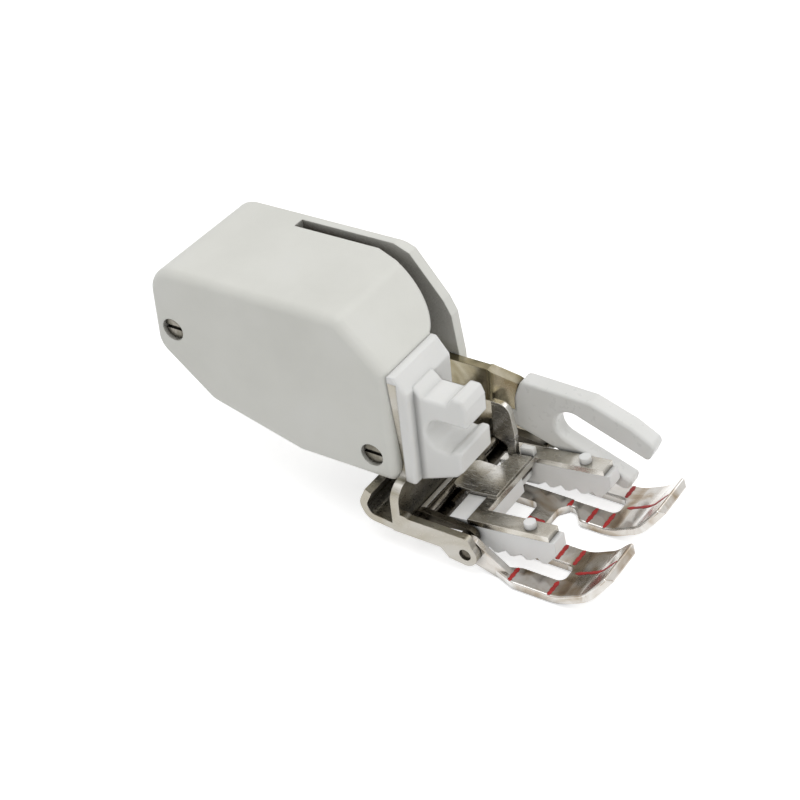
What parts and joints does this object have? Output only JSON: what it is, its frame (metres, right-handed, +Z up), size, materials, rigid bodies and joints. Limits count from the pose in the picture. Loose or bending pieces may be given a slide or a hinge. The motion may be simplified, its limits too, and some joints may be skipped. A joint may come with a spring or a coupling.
{
  "type": "sewing machine presser foot",
  "caption": "Open-toe walking presser foot: white plastic cover, slotted clamp head, fork lever, toothed feed shoes on a sprung carriage and a hinged slotted steel sole.",
  "frame": {"origin": "middle of the sole's bridge, on the bottom face that meets the needle plate", "axes": "+X to the operator's right, +Y to the back of the machine, +Z up; the toes point along -Y"},
  "size_m": [0.0222, 0.0638, 0.0304],
  "materials": {
    "cover_plastic": "fine satin moulding",
    "head_plastic": "smooth white acetal",
    "natural_nylon": "milky natural nylon",
    "shoe_nylon": "white nylon",
    "drive_nylon": "white nylon",
    "nickel_sheet": "bright nickel plate",
    "nickel_sole": "polished nickel plate with red guide marks",
    "nickel_lever": "bright nickel plate",
    "nickel_deck": "bright nickel plate",
    "dark_sheet": "plain steel sheet",
    "screw_steel": "turned steel",
    "pin_steel": "ground steel",
    "spring_steel": "drawn wire"
  },
  "bodies": {
    "frame": {"housing": "cover_plastic", "main_frame": "nickel_sheet", "attaching_head": "head_plastic", "clamp_plate": "dark_sheet", "housing_screws": "screw_steel", "head_rivets": "screw_steel", "lever_shaft": "pin_steel", "shaft_spacer": "drive_nylon", "shaft_clip": "spring_steel", "lever_spring": "spring_steel", "rocker_shaft": "pin_steel", "sole_pins": "pin_steel"},
    "lever": {"fork_lever": "nickel_lever", "fork_cap": "natural_nylon", "lift_crank": "drive_nylon", "crank_rivets": "screw_steel"},
    "rocker": {"lift_rocker": "dark_sheet", "roller_pin": "pin_steel", "follower_roller": "drive_nylon", "carriage_springs": "spring_steel"},
    "carriage": {"feed_carriage": "nickel_deck", "feed_shoes": "shoe_nylon", "carriage_pin": "pin_steel"},
    "sole": {"sole": "nickel_sole"}
  },
  "joints": [
    {"name": "fork_swing", "type": "hinge", "parent": "frame", "child": "lever", "pos_m": [0.00695, 0.04025, 0.0206], "axis": [-1, 0, 0], "range_deg": [0, 42], "stiffness_Nm_per_rad": 0.01, "springref_deg": -17.19, "deforming": ["lever_spring"]},
    {"name": "shoe_lift", "type": "hinge", "parent": "frame", "child": "rocker", "pos_m": [0, 0.01045, 0.00415], "axis": [1, 0, 0], "range_deg": [0, 11]},
    {"name": "shoe_slide", "type": "slide", "parent": "rocker", "child": "carriage", "axis": [0, 0.9914, -0.1305], "range_m": [0, 0.0022], "stiffness_N_per_m": 100, "springref_m": -0.003, "deforming": ["carriage_springs"]},
    {"name": "sole_tilt", "type": "hinge", "parent": "frame", "child": "sole", "pos_m": [0, 0.00335, 0.0029], "axis": [1, 0, 0], "range_deg": [-3, 5]}
  ],
  "couplings": [
    {"joint": "shoe_lift", "follows": "fork_swing", "ratio": 0.25}
  ]
}
